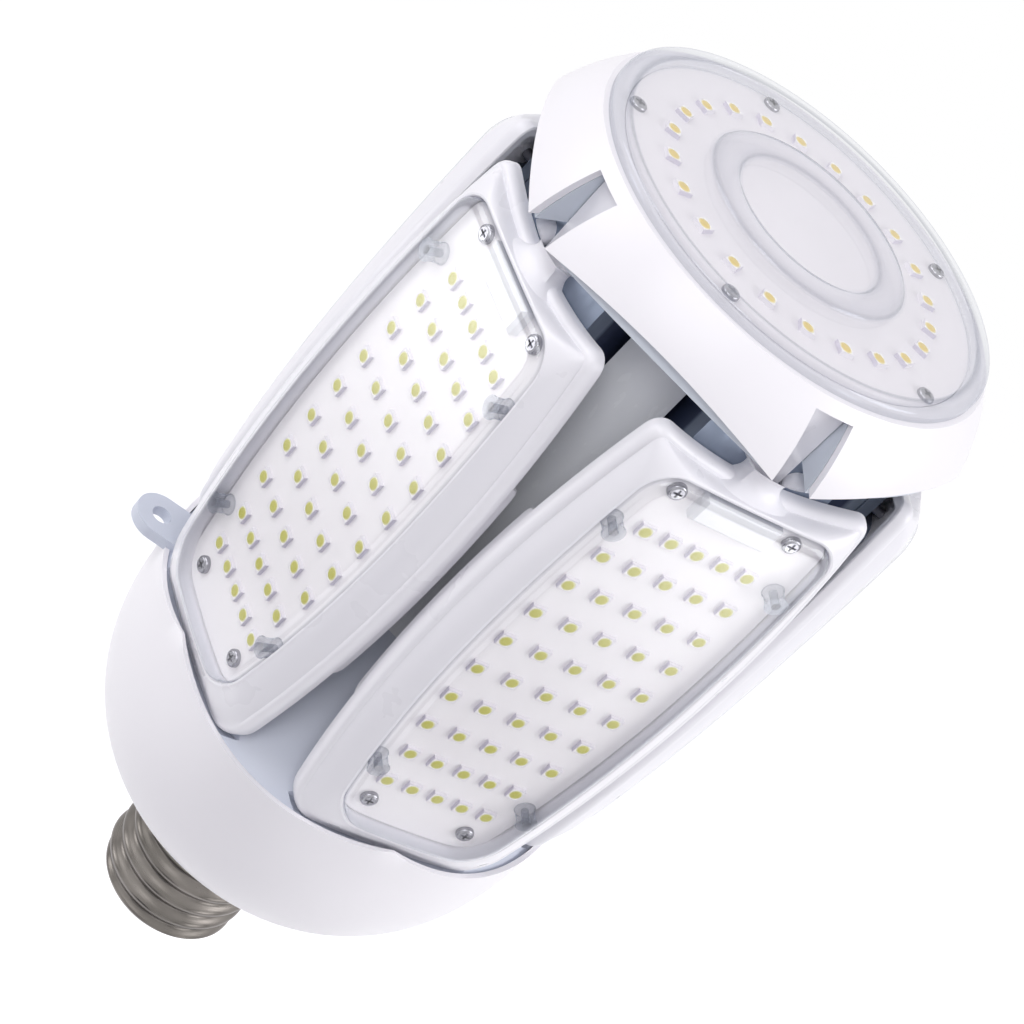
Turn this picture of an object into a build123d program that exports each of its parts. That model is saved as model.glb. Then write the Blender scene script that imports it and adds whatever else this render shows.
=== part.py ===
from build123d import *
from math import asin, cos, radians, sin, sqrt, tan
import os

os.makedirs("parts", exist_ok=True)

# Corn lamp: five light pods round a finned core, a flared light head, a bowl and a mogul screw base.
# The lamp axis is Z, the tip of the centre contact is at Z = 0 and the head faces up. Sizes are in mm.
# Azimuth 0 looks along +Y from the front, between two pods. "rho" is the distance from the axis.

# clearances
FIT = 0.15              # between pieces that slide together
PRESS = 0.05            # between pieces that seat tightly
SEAM = 0.02             # between stacked flat pieces
AIR = 0.5               # round a pod in its seat

# heights along the axis
SHELL_LOW = 8.5         # lower end of the screw shell
SHELL_H = 37.5
BOWL_H = 61.4           # shell to the bowl rim between two pods
POD_H = 137.5           # lowest to highest corner of a pod
HEAD_GAP = 9.5          # pod corner to the skirt edge between two pods
HEAD_H = 13.5           # skirt edge to the head rim plane
SHELL_TOP = SHELL_LOW + SHELL_H
RIM_LOW = SHELL_TOP + BOWL_H
POD_LOW = RIM_LOW + 0.1
POD_TOP = POD_LOW + POD_H
EDGE_Z = POD_TOP + HEAD_GAP
HEAD_Z = EDGE_Z + HEAD_H

# pods round the axis
PODS = 5
STEP = 360.0 / PODS
POD_AZ = [STEP / 2 + STEP * k for k in range(PODS)]
GAP_AZ = [STEP * k for k in range(PODS)]
PAD_FACE = 48.8         # back of the pods, on the heat sink pads

# screw base
THREAD_R = 19.75        # crest radius
THREAD_DEPTH = 1.75
THREAD_PITCH = 6.35
THREAD_TURNS = 4.5
THREAD_START = 3.4      # first crest above the shell's lower end
SHELL_WALL = 1.0
SHELL_TAPER = 2.0       # height of the closed-in lower end
INSULATOR_R = 13.2
INSULATOR_IN = 2.7      # insulator above the shell's lower end
TIP_R = 6.0             # centre contact
TIP_H = 2.15
TIP_ROUND = 1.6
LEAD_R = 0.8
SHELL_IN = THREAD_R - THREAD_DEPTH - SHELL_WALL

# bowl
BOWL_R = PAD_FACE + 9.7
BOWL_WALL = 2.4
BOWL_POWER = 2.5        # exponent of the rounded profile
BOWL_STRAIGHT = 3.4     # straight stretch below the rim
RIM_RISE = 5.3          # how much the rim rises in front of a pod
RIM_WALL = 1.25
LEDGE_DEPTH = 6.4       # ledge for the collar, below the rim
SLEEVE_DEPTH = 29.0     # sleeve inside the shell, below the bowl
SLEEVE_WALL = 2.1
FLANGE_OUT = 4.0        # flange of the sleeve on the bowl's floor
FLANGE_T = 2.0

# columns in the gaps between pods
COLUMN_R = PAD_FACE - 4.4
COLUMN_HALF = 7.7
COLUMN_T = 2.4
COLUMN_DEEP = 5.2
CROWN_R = 22.0          # radius of the crowned face

# collar under the pods, with the tether lug
COLLAR_H = 52.0
COLLAR_POWER = 3.6      # exponent of the flare
COLLAR_LAND = 0.4       # flat land at the rim
LUG_AZ = -72.0
LUG_RHO = BOWL_R + 4.1  # eye, distance from the axis
LUG_HALF = 6.5
LUG_T = 3.0
LUG_RISE = 2.1          # lug top above the low rim
EYE_D = 5.0
LEDGE_Z = RIM_LOW - LEDGE_DEPTH
COLLAR_TOP = LEDGE_Z + COLLAR_H
COLLAR_R = BOWL_R - RIM_WALL - FIT
COLLAR_BORE = COLUMN_R - COLUMN_T - 2.0

# pod build-up outward from the pad face
POD_SIDE = 1.6          # straight side
POD_EDGE = 2.3          # rounded edge, height
POD_EDGE_IN = 1.8       # and width
POD_BAND = 4.3          # height of the sloping band
FLOOR = PAD_FACE + 3.15 # ledge under the board
BOARD_T = 1.6
LENS_SIDE = 3.7         # straight side of the lens
LENS_ROUND = 2.6        # rounded edge of the lens, width
LENS_RISE = 1.6         # and height
LENS_WALL = 1.1
EDGE_LO = PAD_FACE + POD_SIDE
EDGE_HI = EDGE_LO + POD_EDGE
BAND_HI = EDGE_HI + POD_BAND
BOARD_FACE = FLOOR + BOARD_T
LENS_SEAT = BOARD_FACE + PRESS
LENS_EDGE = LENS_SEAT + LENS_SIDE
LENS_FACE = LENS_EDGE + LENS_RISE

# pod outline
POD_GAP = 1.85          # widest place to the plane between two pods
POD_WIDE = 72.5         # height of the widest place above the pod's end
POD_NARROW_TOP = 6.4    # how much narrower the upper end is
POD_NARROW_LOW = 7.6
POD_DIP = 4.3           # sag of the top edge
POD_BULGE = 1.8         # belly of the bottom edge
POD_R_TOP = 4.5
POD_R_LOW = 9.0
POD_HALF = PAD_FACE * tan(radians(STEP / 2)) - POD_GAP

# lens outline inside the pod outline
LENS_IN = 8.0
LENS_IN_TOP = 6.5
LENS_IN_LOW = 9.0
LENS_WIDE = 77.5
LENS_NARROW_TOP = 3.0
LENS_NARROW_LOW = 6.8
LENS_DIP = 0.5
LENS_BULGE = 1.0
LENS_R_TOP = 7.0
LENS_R_LOW = 9.0
LENS_LIP = 1.2          # band ends this far outside the lens
LENS_HALF = POD_HALF - LENS_IN
LENS_TOP = POD_TOP - LENS_IN_TOP
LENS_LOW = POD_LOW + LENS_IN_LOW

# window behind the board, filled by the heat plate
WINDOW_IN = 4.0
WINDOW_IN_TOP = 8.4
WINDOW_IN_LOW = 10.1
WINDOW_R = 4.0

# deep side walls at mid length and the waisted neck above a pod
SKIRT_DEEP = 3.0
SKIRT_IN = 1.0
SKIRT_T = 2.0
SKIRT_LOW = 35.5        # from the pod's lower end
SKIRT_HIGH = 35.0       # from the pod's upper end
SKIRT_R = 2.5
NECK_IN = 1.6           # how far the neck reaches into the pod
NECK_HALF = 7.8         # half width at its ends
NECK_WAIST = 4.7        # and at the waist
NECK_SADDLE = 4.7       # neck face outward of the pad face at the waist
NECK_OUT = 7.2          # and at its upper end
NECK_DROP = 0.4         # neck end below the pocket walls
TAB_T = 0.9             # flat tab of the neck, in the pocket of the head
TAB_IN = 0.4            # from the pocket walls

# lens pegs: distances from the lens end and inside its side
PEG_R = 2.2
PEG_BORE = 1.0
PEG_TOP = (18.3, 3.3)
PEG_LOW = (19.2, 2.5)

# light sources
LED_A = 3.5             # package edge
LED_H = 1.0
ROWS = 10
ROW_IN_TOP = 17.5
ROW_IN_LOW = 13.24
COLS = 5
# outer column inside the lens side, row by row from the top
COL_IN = (11.2, 9.1, 8.4, 8.0, 7.8, 7.5, 7.4, 7.4, 8.7, 8.0)

# screws
SCREW_R = 1.2
SCREW_LEN = 7.0
SCREW_HEAD_R = 2.1
SCREW_HEAD_H = 1.3
RECESS_L = 2.2
RECESS_W = 0.5
POD_SCREW_TOP = (14.6, 5.4)     # half spacing, distance from the lens end
POD_SCREW_LOW = (12.8, 5.6)
POD_SCREWS = [(s * POD_SCREW_TOP[0], LENS_TOP - POD_SCREW_TOP[1]) for s in (1, -1)]
POD_SCREWS += [(s * POD_SCREW_LOW[0], LENS_LOW + POD_SCREW_LOW[1]) for s in (1, -1)]

# terminal cover on the pod board
COVER_HALF = 9.5
COVER_H = 6.8
COVER_T = 3.0
COVER_IN = 2.1          # from the lens end
COVER_BEVEL = 0.8

# heat sink
TUBE_R = 15.5
TUBE_WALL = 3.5
PAD_HALF = 17.4
PAD_T = 2.5
PAD_LOW = POD_LOW + 10.5
PAD_TOP = POD_TOP + 6.0
FIN_T = 1.6
FIN_PITCH = 8.0
FIN_BITE = 0.5          # overlap of fins with the pad and the tube

# head
CAP_DROP = 2.0          # skin top below the head plane
CAP_R = PAD_FACE + 1.8
CAP_MID = (6.0, 9.2)    # bulge of the skin: outward and down from its top
CAP_LOW = (9.3, 18.5)   # lower edge of the skin
CAP_WALL = 2.1
CAP_FLOOR_T = 2.0
CAP_RECESS = 0.95       # depth of the board recess
CAP_TRIM = 0.4
EDGE_ARC = 88.0         # radius of the arched skirt edge
LIP = 2.7               # chassis shown under the skirt
LIP_ARC = 127.0
CHASSIS_WALL = 2.0
CHASSIS_BORE = 18.0
RIB_BORE = 36.0
RIB_T = 2.4
NOTCH_HALF = 4.7
NOTCH_TOP = 2.5         # below the skin top
POCKET_BACK = PAD_FACE - 2.1
POCKET_DROP = 1.5       # back wall below the skirt edge
POCKET_SIDE = 7.8       # side walls below the skirt edge
CAP_TOP = HEAD_Z - CAP_DROP
CAP_BORE = CAP_R - 5.3
CAP_FLOOR = CAP_TOP - CAP_RECESS
CHASSIS_TOP = CAP_FLOOR - CAP_FLOOR_T - PRESS
RIB_Z = EDGE_Z - 0.5

# head light engine and lens
HEAD_BOARD_T = 1.18
HEAD_LEDS = 22
HEAD_LED_RHO = CAP_BORE - 11.2
HEAD_LED_AZ = -6.86
HEAD_SCREW_RHO = CAP_BORE - 2.3
HEAD_SCREW_HEAD_R = 2.0
HEAD_SCREW_HEAD_H = 1.0
HEAD_SCREW_LEN = 8.0
BEAD_R = CAP_R - 1.1    # rim bead of the head lens
BEAD_H = 2.9
BEAD_W = 3.7
HEAD_LENS_T = 1.2
RIDGE_OUT = 25.4        # low ring round the middle
RIDGE_IN = 17.9
RIDGE_H = 1.2
BOARD_TOP = CAP_FLOOR + SEAM + HEAD_BOARD_T

# driver in the bowl
DECK_T = 2.5
DECK_BORE = 4.0
POST_H = 15.4
POST_R = 2.6
POST_RHO = 29.0
DRIVER_R = 36.0
DRIVER_BORE = 3.4
HEAD_LEAD_R = 2.6
SHELL_LEAD_RHO = 13.2
COIL_CORE = (20.0, 22.0, 17.0)
COIL_WIRE = (24.0, 16.0, 11.0)
COIL_AT = (-13.0, 6.0)
CANS = ((15.0, -12.0, 7.0, 22.0), (20.0, 6.0, 5.0, 16.0), (9.0, 20.0, 4.0, 12.0))
CHOKE_AT = (-6.0, -20.0)
CHOKE_R = (7.0, 3.4)
DRIVER_TOP = LEDGE_Z - POST_H
DRIVER_Z = DRIVER_TOP - BOARD_T

FAR = 100.0             # beyond everything


def save(shape, node):
    solids = shape.solids()
    piece = solids[0] if len(solids) == 1 else Compound(children=solids)
    export_step(piece, "parts/" + node + ".step")


def spin(shape, az):
    return shape.rotate(Axis.Z, az)


def front(rho):
    # plane facing forward at a distance from the axis, its y axis is up
    return Plane(origin=(0, -rho, 0), x_dir=(1, 0, 0), z_dir=(0, -1, 0))


def disc(r, z0, z1):
    return Pos(0, 0, z0) * extrude(Circle(r), z1 - z0)


def tube(r_out, r_in, z0, z1):
    return disc(r_out, z0, z1) - disc(r_in, z0 - 1, z1 + 1)


def post(x, y, r, z0, z1):
    return Pos(x, y, 0) * disc(r, z0, z1)


def block(half, rho0, rho1, z0, z1, x=0.0):
    # box of a half width round x, between two distances from the axis and two heights
    return Pos(x, -(rho0 + rho1) / 2, (z0 + z1) / 2) * Box(2 * half, rho1 - rho0, z1 - z0)


def bore(x, rho0, rho1, z, r):
    # cylinder pointing forward
    return prism(Pos(x, z) * Circle(r), rho0, rho1)


def turned(path):
    return revolve(Plane.XZ * make_face(path), Axis.Z)


def prism(face, rho0, rho1):
    return extrude(front(rho0) * face, rho1 - rho0)


def bridge(face0, rho0, face1, rho1):
    return loft([front(rho0) * face0, front(rho1) * face1], ruled=True)


def side_half(z, half, z_wide, half_end, z_end):
    # half width at a height on the side arc that is widest at z_wide
    dz, dw = abs(z_end - z_wide), half - half_end
    r = (dz * dz + dw * dw) / (2 * dw)
    return half - r + sqrt(r * r - (z - z_wide) ** 2)


def barrel(half_top, z_top, half, z_wide, half_low, z_low, dip, belly, r_top, r_low):
    # closed outline: two arcs on each side, arched ends and four round corners
    z_up, z_dn = (z_top + z_wide) / 2, (z_low + z_wide) / 2
    w_up = side_half(z_up, half, z_wide, half_top, z_top)
    w_dn = side_half(z_dn, half, z_wide, half_low, z_low)
    face = make_face(Curve() + [
        ThreePointArc((half_low, z_low), (w_dn, z_dn), (half, z_wide)),
        ThreePointArc((half, z_wide), (w_up, z_up), (half_top, z_top)),
        ThreePointArc((half_top, z_top), (0, z_top - dip), (-half_top, z_top)),
        ThreePointArc((-half_top, z_top), (-w_up, z_up), (-half, z_wide)),
        ThreePointArc((-half, z_wide), (-w_dn, z_dn), (-half_low, z_low)),
        ThreePointArc((-half_low, z_low), (0, z_low - belly), (half_low, z_low)),
    ])
    for radius, w, z in ((r_top, half_top, z_top), (r_low, half_low, z_low)):
        for s in (1, -1):
            corner = sorted(face.vertices(), key=lambda p: (p.X - s * w) ** 2 + (p.Y - z) ** 2)[0]
            face = fillet(corner, radius)
    return face


def pod_outline(inset):
    return barrel(POD_HALF - POD_NARROW_TOP - inset, POD_TOP - inset,
                  POD_HALF - inset, POD_LOW + POD_WIDE,
                  POD_HALF - POD_NARROW_LOW - inset, POD_LOW + inset,
                  POD_DIP, POD_BULGE, POD_R_TOP - inset / 2, POD_R_LOW - inset)


def lens_outline(inset):
    return barrel(LENS_HALF - LENS_NARROW_TOP - inset, LENS_TOP - inset,
                  LENS_HALF - inset, POD_LOW + LENS_WIDE,
                  LENS_HALF - LENS_NARROW_LOW - inset, LENS_LOW + inset,
                  LENS_DIP, LENS_BULGE, LENS_R_TOP - inset, LENS_R_LOW - inset)


def window(inset):
    half = LENS_HALF - WINDOW_IN - inset
    return barrel(half - LENS_NARROW_TOP, LENS_TOP - WINDOW_IN_TOP - inset,
                  half, POD_LOW + LENS_WIDE,
                  half - LENS_NARROW_TOP, LENS_LOW + WINDOW_IN_LOW + inset,
                  LENS_DIP, LENS_BULGE, WINDOW_R, WINDOW_R)


def lens_half_at(z):
    wide = POD_LOW + LENS_WIDE
    if z > wide:
        return side_half(z, LENS_HALF, wide, LENS_HALF - LENS_NARROW_TOP, LENS_TOP)
    return side_half(z, LENS_HALF, wide, LENS_HALF - LENS_NARROW_LOW, LENS_LOW)


def screw(head_r, head_h, length):
    # pan head with a cross recess, underside of the head at the origin
    head = Cylinder(head_r, head_h, align=(Align.CENTER, Align.CENTER, Align.MIN))
    head = fillet(head.edges().sort_by(Axis.Z)[-1], head_h * 0.6)
    s = head + disc(SCREW_R, -length, head_h / 2)
    for turn in (0, 90):
        s -= Pos(0, 0, head_h) * Rot(0, 0, turn) * Box(RECESS_L, RECESS_W, head_h)
    return s


def superellipse(r, z_low, z_top, r_end, count=9):
    # points of a rounded bowl profile from its top down to the radius r_end
    n, h = BOWL_POWER, z_top - z_low
    drop_end = (1 - (r_end / r) ** n) ** (1 / n)
    drops = [drop_end * sin(radians(90.0 * k / (count - 1))) for k in range(count)]
    return [(r * (1 - d ** n) ** (1 / n), z_top - h * d) for d in drops]


# screw shell: thin tube with a rolled round thread, closed in below
def make_shell():
    root, low = THREAD_R - THREAD_DEPTH, INSULATOR_R + FIT
    body = turned(Polyline(
        (low, SHELL_LOW), (low + SHELL_WALL, SHELL_LOW), (root, SHELL_LOW + SHELL_TAPER),
        (root, SHELL_TOP), (SHELL_IN, SHELL_TOP), (SHELL_IN, SHELL_LOW + SHELL_TAPER + 0.4),
        (low, SHELL_LOW + SHELL_WALL), (low, SHELL_LOW)))
    path = Helix(THREAD_PITCH, THREAD_PITCH * THREAD_TURNS, root,
                 center=(0, 0, SHELL_LOW + THREAD_START))
    start = Plane(origin=path @ 0, z_dir=path % 0)
    body += sweep(start * Circle(THREAD_DEPTH), path=path, is_frenet=True)
    return body - disc(SHELL_IN, SHELL_LOW + SHELL_TAPER + 0.4, SHELL_TOP + 1)


def make_insulator():
    sleeve_low = SHELL_TOP - SLEEVE_DEPTH
    bore_r, shoulder = LEAD_R + 0.4, SHELL_LOW + INSULATOR_IN
    return turned(Polyline(
        (bore_r, TIP_H + PRESS), (TIP_R + 0.9, TIP_H + PRESS), (TIP_R + 1.8, TIP_H + 1.4),
        (INSULATOR_R, SHELL_LOW - 0.6), (INSULATOR_R, SHELL_LOW + SHELL_WALL + 0.8),
        (SHELL_IN - 0.4, shoulder), (SHELL_IN - 0.4, sleeve_low - 1.6),
        (SHELL_IN / 2, sleeve_low - 1.6), (bore_r, SHELL_LOW), (bore_r, TIP_H + PRESS)))


def make_contact():
    cap = disc(TIP_R, 0, TIP_H)
    return fillet(cap.edges().sort_by(Axis.Z)[0], TIP_ROUND)


# bowl: a turned wall whose rim rises in front of each pod
def make_bowl():
    top, straight = RIM_LOW + RIM_RISE, RIM_LOW - BOWL_STRAIGHT
    rim_in, r_in = BOWL_R - RIM_WALL, BOWL_R - RIM_WALL - BOWL_WALL / 2
    hole, floor = SHELL_IN, SHELL_TOP + BOWL_WALL
    outer = superellipse(BOWL_R, SHELL_TOP, straight, SHELL_IN + 3.6)
    inner = superellipse(r_in, floor, straight, SHELL_IN + FLANGE_OUT + FIT)
    end_out, end_in = outer[-1], inner[-1]
    wall = turned(Curve() + [
        Polyline((rim_in, top), (BOWL_R - 0.5, top), (BOWL_R, top - 1.0), (BOWL_R, straight)),
        Spline(*outer, tangents=[(0, -1), (-1, -0.2)]),
        Polyline(end_out, (end_out[0] - 0.6, SHELL_TOP), (hole, SHELL_TOP), (hole, floor),
                 (end_in[0], floor), end_in),
        Spline(*inner[::-1], tangents=[(1, 0.2), (0, 1)]),
        Polyline((r_in, straight), (rim_in, straight), (rim_in, top)),
    ])
    # room for the collar below the rim
    wall -= disc(rim_in, LEDGE_Z, top)
    # arched rim between pods
    half_chord = BOWL_R * sin(radians(STEP / 2))
    arc = half_chord ** 2 / (2 * RIM_RISE)
    for az in GAP_AZ:
        wall -= spin(bore(0, 20, FAR, RIM_LOW + arc, arc), az)
    # room for the pods and the lug
    room = prism(pod_outline(-AIR), PAD_FACE - AIR, EDGE_LO + AIR)
    room += bridge(pod_outline(-AIR), EDGE_LO + AIR, pod_outline(POD_EDGE_IN - AIR), EDGE_HI + AIR)
    room += bridge(pod_outline(POD_EDGE_IN - AIR), EDGE_HI + AIR,
                   lens_outline(-LENS_LIP - AIR), BAND_HI + AIR)
    for az in POD_AZ:
        wall -= spin(room, az)
    lug_low = RIM_LOW + LUG_RISE - LUG_T
    return wall - spin(block(LUG_HALF + FIT, COLLAR_R - 1, FAR, lug_low - FIT, top + 1), LUG_AZ)


# sleeve: carries the screw shell, its flange stands on the bowl's floor
def make_sleeve():
    fit_r, floor = SHELL_IN - PRESS, SHELL_TOP + BOWL_WALL + SEAM
    sleeve = disc(fit_r, SHELL_TOP - SLEEVE_DEPTH, floor + FLANGE_T)
    sleeve += disc(SHELL_IN + FLANGE_OUT, floor, floor + FLANGE_T)
    return sleeve - disc(fit_r - SLEEVE_WALL, 0, FAR)


# collar: flared ring with a seat for each pod and a lug for a safety tether
def make_collar():
    flare_low, flare_r = RIM_LOW - 0.6, COLLAR_R - COLLAR_LAND
    fall, spread = COLLAR_TOP - flare_low, flare_r - COLUMN_R
    curve = [(COLUMN_R + spread * (k / 8) ** COLLAR_POWER, COLLAR_TOP - fall * k / 8)
             for k in range(9)]
    ring = turned(Curve() + [
        Line((COLLAR_BORE, COLLAR_TOP), (COLUMN_R, COLLAR_TOP)),
        Spline(*curve),
        Polyline((flare_r, flare_low), (COLLAR_R, flare_low - COLLAR_LAND), (COLLAR_R, LEDGE_Z),
                 (COLLAR_BORE, LEDGE_Z), (COLLAR_BORE, COLLAR_TOP)),
    ])
    lug_top = RIM_LOW + LUG_RISE
    lug = block(LUG_HALF, COLLAR_R - 5, LUG_RHO, lug_top - LUG_T, lug_top)
    lug += post(0, -LUG_RHO, LUG_HALF, lug_top - LUG_T, lug_top)
    ring += spin(lug, LUG_AZ)
    ring -= spin(post(0, -LUG_RHO, EYE_D / 2, lug_top - FAR, lug_top + FAR), LUG_AZ)
    seat = prism(pod_outline(-AIR), PAD_FACE - AIR, FAR)
    seat += block(PAD_HALF + AIR, COLLAR_BORE - 4, FAR, PAD_LOW - AIR, COLLAR_TOP + 1)
    for az in POD_AZ:
        ring -= spin(seat, az)
    return ring


# driver: a deck with four posts, a board on the posts and parts below it
def make_deck():
    deck = tube(COLLAR_BORE - FIT, DECK_BORE, LEDGE_Z, LEDGE_Z + DECK_T)
    for k in range(4):
        deck += spin(post(0, -POST_RHO, POST_R, DRIVER_TOP, LEDGE_Z + DECK_T / 2), 45 + 90 * k)
    return deck


def make_coil():
    def slab(size, drop):
        x, y, h = size
        return Pos(*COIL_AT, DRIVER_Z - drop - h / 2) * Box(x, y, h)
    return slab(COIL_CORE, 0) + slab(COIL_WIRE, (COIL_CORE[2] - COIL_WIRE[2]) / 2)


def make_shell_lead():
    # from the board down through the sleeve, then sideways to the shell
    turn = SHELL_TOP - SLEEVE_DEPTH - LEAD_R
    lead = post(SHELL_LEAD_RHO, 0, LEAD_R, turn, DRIVER_Z)
    end = SHELL_IN - PRESS - SHELL_LEAD_RHO + LEAD_R
    lead += Pos(SHELL_LEAD_RHO - LEAD_R + end / 2, 0, turn) * Rot(0, 90, 0) * Cylinder(LEAD_R - PRESS, end)
    return lead


# heat sink: centre tube, a pad behind each pod and fins between them
def make_sink():
    sink = disc(TUBE_R, LEDGE_Z + DECK_T, CHASSIS_TOP - CHASSIS_WALL)
    for az in POD_AZ:
        part = block(PAD_HALF, PAD_FACE - PAD_T, PAD_FACE, PAD_LOW, PAD_TOP)
        for k in (-2, -1, 0, 1, 2):
            x = k * FIN_PITCH
            if abs(x) < TUBE_R - FIN_T / 2:
                rho0 = sqrt(TUBE_R ** 2 - (abs(x) + FIN_T / 2) ** 2) - FIN_BITE
            else:
                rho0 = (abs(x) + FIN_T) / tan(radians(STEP / 2))
            part += block(FIN_T / 2, rho0, PAD_FACE - PAD_T + FIN_BITE, PAD_LOW, PAD_TOP, x)
        for sx, sz in POD_SCREWS:
            part -= bore(sx, PAD_FACE - PAD_T - 1, PAD_FACE + 1, sz, SCREW_R + PRESS)
        sink += spin(part, az)
    return sink - disc(TUBE_R - TUBE_WALL, LEDGE_Z, HEAD_Z)


# columns: crowned channels between the collar and the chassis
def make_column():
    w, t, deep = COLUMN_HALF, COLUMN_T, COLUMN_R - COLUMN_DEEP
    centre = COLUMN_R - CROWN_R
    edge = centre + sqrt(CROWN_R ** 2 - w ** 2)
    inner = centre + sqrt((CROWN_R - t) ** 2 - (w - t) ** 2)
    section = make_face(Curve() + [
        Polyline((-w, -edge), (-w, -deep), (-w + t, -deep), (-w + t, -inner)),
        ThreePointArc((-w + t, -inner), (0, -(COLUMN_R - t)), (w - t, -inner)),
        Polyline((w - t, -inner), (w - t, -deep), (w, -deep), (w, -edge)),
        ThreePointArc((w, -edge), (0, -COLUMN_R), (-w, -edge)),
    ])
    return Pos(0, 0, COLLAR_TOP) * extrude(section, RIB_Z - COLLAR_TOP)


# head: an outer skin over a chassis with five open pockets
def head_body(inset):
    # solid under the skin's bulged profile, set in by a distance
    r = CAP_R - inset
    mid = (r + CAP_MID[0], CAP_TOP - CAP_MID[1])
    low = (r + CAP_LOW[0], CAP_TOP - CAP_LOW[1])
    return turned(Curve() + [ThreePointArc((r, CAP_TOP), mid, low),
                             Polyline(low, (0, low[1]), (0, CAP_TOP), (r, CAP_TOP))])


def head_screw_hole(az):
    return spin(post(0, -HEAD_SCREW_RHO, SCREW_R + PRESS, CHASSIS_TOP - FAR, HEAD_Z + FAR), az)


def make_cap():
    skin = head_body(0.0) - (head_body(CAP_WALL) - disc(FAR, CAP_FLOOR - CAP_FLOOR_T, FAR * 4))
    skin -= disc(CAP_BORE, CAP_FLOOR, FAR * 4)
    skin -= disc(DRIVER_BORE, CAP_FLOOR - FAR, CAP_FLOOR + 1)
    skin -= disc(FAR, 0, CAP_TOP - CAP_LOW[1] + CAP_TRIM)
    notch = block(NOTCH_HALF, POCKET_BACK, FAR, EDGE_Z - FAR, CAP_TOP - NOTCH_TOP)
    for az in GAP_AZ:
        skin -= spin(bore(0, 20, FAR, EDGE_Z - EDGE_ARC, EDGE_ARC), az)
        skin -= head_screw_hole(az)
    for az in POD_AZ:
        skin -= spin(notch, az)
    return skin


def make_chassis():
    full = head_body(CAP_WALL + FIT) - disc(FAR, CHASSIS_TOP, FAR * 4)
    body = full - head_body(CAP_WALL + FIT + CHASSIS_WALL)
    body += full & tube(FAR, CHASSIS_BORE, CHASSIS_TOP - CHASSIS_WALL, CHASSIS_TOP)
    body += full & tube(FAR, RIB_BORE, RIB_Z, RIB_Z + RIB_T)
    half = NOTCH_HALF + CHASSIS_WALL
    box = block(half, POCKET_BACK - CHASSIS_WALL, POCKET_BACK, EDGE_Z - POCKET_DROP, CHASSIS_TOP)
    box += block(half, POCKET_BACK, FAR, EDGE_Z - POCKET_SIDE, CHASSIS_TOP)
    pocket = block(NOTCH_HALF - FIT, POCKET_BACK, FAR, EDGE_Z - FAR, CAP_TOP - NOTCH_TOP - FIT)
    pad = block(PAD_HALF + FIT, RIB_BORE - 6, PAD_FACE + FIT, EDGE_Z - FAR, PAD_TOP + FIT)
    for az in POD_AZ:
        body += full & spin(box, az)
    for az in POD_AZ:
        body -= spin(pocket, az)
        body -= spin(pad, az)
    for az in GAP_AZ:
        body -= spin(bore(0, 20, FAR, EDGE_Z - LIP - LIP_ARC, LIP_ARC), az)
        body -= head_screw_hole(az)
    return body


def make_head_board():
    board = disc(CAP_BORE - FIT, CAP_FLOOR + SEAM, BOARD_TOP)
    for az in GAP_AZ:
        board -= head_screw_hole(az)
    return board


def make_head_leds():
    led = Pos(0, -HEAD_LED_RHO, BOARD_TOP + SEAM + LED_H / 2) * Box(LED_A, LED_A, LED_H)
    step = 360.0 / HEAD_LEDS
    return Compound(children=[spin(led, HEAD_LED_AZ + step * k) for k in range(HEAD_LEDS)])


def make_head_screws():
    one = Pos(0, -HEAD_SCREW_RHO, BOARD_TOP) * screw(HEAD_SCREW_HEAD_R, HEAD_SCREW_HEAD_H, HEAD_SCREW_LEN)
    return Compound(children=[spin(one, az) for az in GAP_AZ])


# head lens: flat window, rim bead and a low ring round the middle
def make_head_lens():
    foot, low = CAP_TOP + PRESS, HEAD_Z - 0.5
    top, bead_in = low + HEAD_LENS_T, BEAD_R - BEAD_W
    return turned(Polyline(
        (0, low), (CAP_BORE - 0.3, low), (CAP_BORE - FIT, foot + 0.4), (CAP_BORE + 1.5, foot),
        (BEAD_R - 0.2, foot), (BEAD_R, foot + 0.4), (BEAD_R, foot + BEAD_H - 1.1),
        (BEAD_R - 0.9, foot + BEAD_H - 0.1), (bead_in + 0.8, foot + BEAD_H), (bead_in, top),
        (RIDGE_OUT, top), (RIDGE_OUT - 1.2, top + RIDGE_H * 0.8), (RIDGE_OUT - 4.0, top + RIDGE_H),
        (RIDGE_IN + 0.7, top + RIDGE_H * 0.8), (RIDGE_IN, top), (0, top), (0, low)))


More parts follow.
